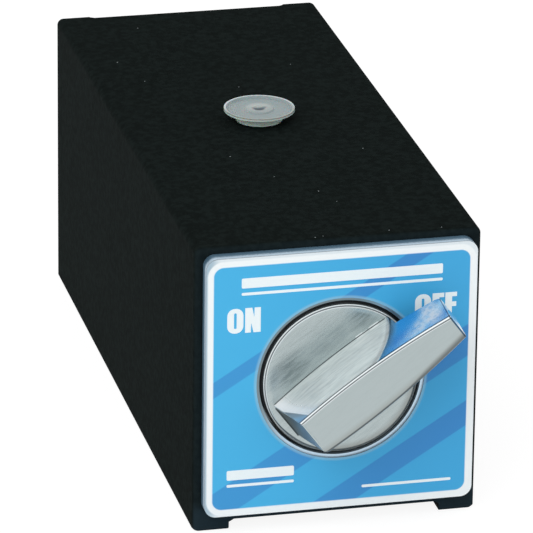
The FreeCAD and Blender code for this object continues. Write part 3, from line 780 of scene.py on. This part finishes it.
def wall_parts(metal):
    """Masks for the wall's painted reflections: the disc, the sheet, the painted highlight at the heel and
    the blue reflection at its edge.
    """
    bulge = metal.scaled(metal.math("POWER", metal.height, 2.0), mirror_bulge)
    mirrored_rim = metal.math("ADD", metal.length, bulge)
    near = metal.both(metal.wall, metal.step(mirrored_rim, *mirror_edge))
    beyond = metal.both(metal.wall, metal.opposite(near))
    above = metal.math("MAXIMUM", metal.math("SUBTRACT", metal.height, glint_knee), 0.0)
    glint = metal.math("SUBTRACT", metal.from_heel, metal.scaled(above, glint_slope))
    corner = metal.both(
        metal.wall, metal.step(glint, 4.2, 0.6), metal.step(glint, -0.15, 0.15),
        metal.spread(metal.climb, 1.0, 0.6),
    )
    blue_reflection = metal.both(metal.wall, metal.step(glint, 0.15, -0.15))
    return near, beyond, corner, blue_reflection


# %% Colour the heel and the edges with painted light and shade, and the marks
# Painted shade: a dark line at the tip's end and on the wall beside it.
tip_shade = colour(58, 86, 110)


def heel_reflection(metal):
    """Painted reflection on the heel's face: dark at its foot and pale toward the crown."""
    turned = metal.scaled(metal.math("SUBTRACT", metal.across, 4.0), 0.1)
    rise = metal.math("SUBTRACT", metal.climb, turned)
    return metal.layers(
        colour(60, 78, 80),
        (metal.step(rise, 0.45, 1.05), colour(128, 154, 170)),
        (metal.step(rise, 1.1, 1.8), colour(184, 196, 200)),
    )


def edge_layers(metal):
    """Painted light and shade on each edge: a highlight on the bevel, shade on the rounding, the chamfer
    lighter to the upper left, dark lines at the tip and a pale reflection tint on its end.
    """
    bevel = metal.both(metal.step(metal.left, 3.66, 3.72), metal.step(metal.level, *crown_edge))
    rounding = metal.both(metal.step(metal.right, 2.3, 3.5), metal.step(metal.level, 10.0, 10.5), 0.5)
    rim = metal.mix(metal.step(metal.across, -2.0, 5.0), colour(170, 176, 174), colour(232, 240, 242))
    tip = metal.both(metal.step(metal.length, 21.2, 21.3), metal.step(metal.level, 10.6, 11.2))
    brink = metal.both(
        metal.wall, metal.step(metal.toward_tip, 21.78, 21.9),
        metal.step(metal.toward_tip, tip_reach + 0.05, tip_reach), 0.75,
    )
    return (
        (bevel, colour(236, 243, 245)), (rounding, colour(150, 153, 148)), (metal.chamfer, rim),
        (tip, tip_shade), (metal.end, colour(226, 240, 250)), (brink, tip_shade),
    )


def mark_layers(metal):
    """A mask and a colour for each mark on the disc: a scratch, painted shade on the lower rim and the
    dark streaks.
    """
    scratch = metal.both(
        metal.line(metal.left, foot_half + 0.2, 0.16), metal.step(metal.height, 0.3, 0.1),
        metal.step(metal.length, 6.2, 6.5), metal.step(metal.noise(1.6, detail=2.0), 0.42, 0.5),
        metal.step(metal.radius, 12.6, 12.3),
    )
    # Painted shade: the disc is darker near its rim on the lower side.
    lower_rim_shade = metal.both(
        metal.disc, metal.step(metal.radius, 11.6, 13.0), metal.step(metal.across, -6.0, -9.0), 0.5
    )
    return (
        (scratch, colour(246, 250, 251)), (lower_rim_shade, colour(112, 108, 100)),
        (disc_streaks(metal), colour(100, 113, 116)),
    )


# %% Plate the knob
barrel_height = 11.0


def plated_casting():
    metal = KnobFinish("plated_casting")
    fine = metal.noise(0.22, detail=4.0)
    grain = metal.noise(0.7, detail=5.0, place=metal.stretched(0.16, 1.6, 1.6), roughness=0.65)
    near, beyond, corner, blue_reflection = wall_parts(metal)
    spots = metal.both(wall_spots(metal), beyond)
    brushed = metal.both(
        metal.step(grain, 0.42, 0.7), metal.spread(metal.top, 0.36, 0.12), metal.opposite(beyond)
    )
    # Painted highlight: pale streaks on the wall where it mirrors the disc.
    shine = metal.both(metal.step(grain, 0.5, 0.3), metal.wall, 0.8, near)
    bright = metal.layers(
        metal.mix(fine, colour(173, 184, 185), colour(181, 192, 193)),
        # Painted reflection: the wall is coloured pale where it mirrors the disc and blue where it mirrors
        # the sheet.
        (metal.wall, metal.mix(near, colour(160, 208, 240), colour(236, 243, 242))),
        (brushed, colour(148, 160, 162)), (shine, colour(250, 252, 250)), (spots, colour(198, 205, 214)),
        # Painted highlight at the heel corner, painted blue reflection beside it, and painted reflection
        # on the heel's face.
        (corner, colour(252, 253, 253)), (blue_reflection, colour(160, 184, 200)), (metal.heel, heel_reflection(metal)),
        # Painted light and shade on the edges, marks on the disc, and painted shade lines in the corners.
        *edge_layers(metal), *mark_layers(metal), (shade_lines(metal), colour(62, 70, 73)),
    )
    painted = metal.either(
        metal.both(near, 0.48), metal.both(corner, 0.85), metal.both(blue_reflection, 0.4),
        metal.both(metal.heel, 0.55), metal.both(spots, 0.9),
    )
    satin = metal.either(
        metal.top, metal.both(metal.disc, 0.5), metal.both(corner, 1.2), metal.both(metal.chamfer, 1.3),
        metal.both(beyond, 0.35), metal.both(metal.end, 0.3), metal.both(metal.heel, 0.7),
    )
    rise = metal.math("MINIMUM", metal.math("DIVIDE", metal.height, barrel_height), 1.0)
    waves = metal.both(metal.noise(3.4, detail=1.0), metal.either(beyond, 0.1))
    rippled = metal.bump(waves, 0.045, under=metal.bump(fine, 0.003))
    return metal.set(
        Base_Color=bright,
        Metallic=metal.opposite(painted),
        # The heel's reflections are tinted blue grey as painted reflection.
        Specular_Tint=metal.mix(metal.heel, (1, 1, 1, 1), colour(90, 108, 118)),
        Roughness=metal.math("ADD", metal.scaled(satin, metal.spread(fine, 0.22, 0.32)), 0.1),
        Normal=metal.bump(metal.math("POWER", rise, 2.0), -0.24, under=rippled),
    )


wear(plated_casting(), "knob")

# %% [markdown]
# ## Rubber, brass, steel and ferrite
# The seal is a matte black ring. The bushes, washers, screws, rotor shoes and magnets are inside, but
# each still has the finish that its maker gives it: turned brass and steel with fine rings of tool
# marks, and ferrite as a dark ground ceramic.

# %% Finish the seal and the inner pieces
def seal_rubber():
    rubber = Finish("matte_rubber")
    speck = rubber.noise(0.4)
    return rubber.set(
        Base_Color=rubber.mix(speck, colour(14, 16, 18), colour(30, 34, 37)),
        Roughness=rubber.spread(speck, 0.6, 0.8),
        Specular_IOR_Level=0.3,
        Normal=rubber.bump(speck, 0.02),
    )


def turned_metal(name, light, dark, low, high):
    """Metal with fine rings about the knob's axis, between two colours and two roughnesses."""
    metal = Finish(name)
    groove = metal.math("SINE", metal.scaled(metal.about_knob()[2], 28.0))
    stain = metal.noise(5.0)
    return metal.set(
        Base_Color=metal.mix(stain, light, dark),
        Metallic=1.0,
        Roughness=metal.spread(stain, low, high),
        Normal=metal.bump(metal.spread(groove, 0.4, 0.6), 0.006),
    )


def ground_ferrite():
    ferrite = Finish("ground_ferrite")
    grain = ferrite.noise(0.4)
    return ferrite.set(
        Base_Color=ferrite.mix(grain, colour(44, 45, 48), colour(70, 72, 76)),
        Roughness=ferrite.spread(grain, 0.5, 0.7),
        Normal=ferrite.bump(grain, 0.02),
    )


wear(seal_rubber(), "knob_seal")
wear(
    turned_metal("turned_brass", colour(214, 178, 104), colour(186, 148, 82), 0.24, 0.38),
    "front_bush", "rear_bush",
)
wear(
    turned_metal("turned_steel", colour(190, 192, 194), colour(150, 152, 156), 0.26, 0.42),
    "front_plate_screws", "rear_cover_screws", "stop_pin", "thrust_washer", "spring_washer",
    "rotor_front_cap", "rotor_rear_cap", "rotor_shoe_upper", "rotor_shoe_lower", "rotor_tie_screws",
)
wear(ground_ferrite(), "rotor_magnet_front", "rotor_magnet_rear")

# %% [markdown]
# ## The plastic plug
# The plug is moulded in a milky plastic. The hole under it is dark, so its thin dish looks greyer than
# its rim and its neck, and that light and shade is painted into its colour. A paler hub stands in the
# middle, painted lighter toward the back, with a small dark dimple painted as shade. The neck, the
# flange's side and the back of the rim are painted lighter. Full transparency is slow to render and
# noisy for a piece this small, so the finish is milky by subsurface scattering, and the colour follows
# the distance from the middle.

# %% Mould the plug
plug_low, plug_high = (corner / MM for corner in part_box("thread_plug"))
plug_middle = (plug_low + plug_high) / 2


def milky_plastic():
    plastic = Finish("milky_plastic")
    across = plastic.along((1, 0, 0), tuple(plug_middle))
    back = plastic.along((0, 1, 0), tuple(plug_middle))
    above = plastic.along((0, 0, 1), (0, 0, plug_high.z))
    radius = plastic.distance(across, back)
    behind = plastic.step(back, -2.5, 2.5)
    hub = plastic.both(plastic.step(radius, 3.6, 1.4), plastic.spread(behind, 0.2, 1.0))
    dimple = plastic.oval(((across, 0.0, 1.7), (back, 0.2, 0.85)), 1.0, 0.4)
    rim = plastic.step(radius, 5.95, 6.05)
    flange_side = plastic.both(plastic.step(radius, 5.9, 6.0), plastic.step(above, -0.12, -0.3))
    neck = plastic.step(above, -0.9, -1.3)
    cloud = plastic.noise(1.8)
    # Painted shade on the dish and the dimple, and painted light on the neck, the flange's side and the
    # back of the rim and hub.
    milk = plastic.layers(
        plastic.mix(cloud, colour(128, 143, 146), colour(140, 154, 155)),
        (hub, colour(172, 182, 179)), (dimple, colour(78, 90, 100)),
        (rim, plastic.mix(behind, colour(148, 162, 158), colour(198, 209, 213))),
        (flange_side, colour(196, 214, 208)), (neck, colour(212, 228, 220)),
    )
    return plastic.set(
        Base_Color=milk,
        Roughness=plastic.spread(cloud, 0.28, 0.4),
        Subsurface_Weight=0.3,
        Subsurface_Scale=0.0015,
        Coat_Weight=0.1,
        Normal=plastic.bump(cloud, 0.05),
    )


wear(milky_plastic(), "thread_plug")

# %% [markdown]
# ## Floor and light
# The photograph has a pure white background. The floor is pale, and it glows a little for the camera and
# for reflections, so it looks white while it still takes a faint shadow. The room is white too, a little
# brighter toward the upper left where metal mirrors it, and one large soft lamp gives the shadow its side.

# %% Lay the floor
floor_reach = 6.0
floor_level = -0.00005
floor_glow = 1.12
glow_share = 0.8


def pale_floor():
    pale = Finish("pale_floor")
    path = pale.add("LightPath").outputs
    seen = pale.math("MAXIMUM", path["Is Camera Ray"], path["Is Glossy Ray"])
    glow = pale.add("Emission", {"Strength": floor_glow})
    inputs = {0: pale.scaled(seen, glow_share), 1: pale.shader.outputs[0], 2: glow.outputs[0]}
    shown = pale.add("MixShader", inputs)
    pale.fill(pale.tree.nodes["Material Output"].inputs[0], shown.outputs[0])
    return pale.set(Base_Color=(0.86, 0.86, 0.86, 1), Roughness=0.9)


floor_data = bpy.data.meshes.new("floor")
floor_data.from_pydata(
    [(x * floor_reach, y * floor_reach, floor_level) for x, y in ((-1, -1), (1, -1), (1, 1), (-1, 1))],
    [], [(0, 1, 2, 3)],
)
floor = add_object("floor", floor_data)
floor.data.materials.append(pale_floor())

# %% Light the room
brightest_way = Vector((-0.5, -0.35, 0.6)).normalized()
mirrored_range = {"From Min": -0.6, "From Max": 1.0, "To Min": 0.7, "To Max": 1.15}
room_strength = 0.72
seen_strength = 1.0

world = bpy.data.worlds.new("room")
world.use_nodes = True
bpy.context.scene.world = world
room = world.node_tree
backdrop = room.nodes["Background"]
backdrop.inputs["Color"].default_value = (1, 1, 1, 1)
path = room.nodes.new("ShaderNodeLightPath").outputs
direction = room.nodes.new("ShaderNodeTexCoord").outputs["Generated"]
toward = room.nodes.new("ShaderNodeVectorMath")
toward.operation = "DOT_PRODUCT"
toward.inputs[1].default_value = brightest_way
slope = room.nodes.new("ShaderNodeMapRange")
for name, value in mirrored_range.items():
    slope.inputs[name].default_value = value
mirrored, seen = (room.nodes.new("ShaderNodeMix") for _ in range(2))
mirrored.inputs[2].default_value = room_strength
seen.inputs[3].default_value = seen_strength
for start, end in (
    (direction, toward.inputs[0]), (toward.outputs["Value"], slope.inputs["Value"]),
    (slope.outputs[0], mirrored.inputs[3]), (path["Is Glossy Ray"], mirrored.inputs[0]),
    (mirrored.outputs[0], seen.inputs[2]), (path["Is Camera Ray"], seen.inputs[0]),
    (seen.outputs[0], backdrop.inputs["Strength"]),
):
    room.links.new(start, end)
print("room lit with", len(room.nodes), "nodes")

# %% Hang the lamp
lamp_place = Vector((-0.9, -1.1, 1.4))
lamp_aim = Vector((0, -0.03, 0.03))

lamp_data = bpy.data.lights.new("key_lamp", "AREA")
lamp_data.energy = 15
lamp_data.size = 1.3
lamp = add_object("key_lamp", lamp_data)
lamp.location = lamp_place
lamp.rotation_euler = (lamp_aim - lamp_place).to_track_quat("-Z", "Y").to_euler()
lamp.visible_glossy = False
print(lamp.name, "of", lamp_data.energy, "W")
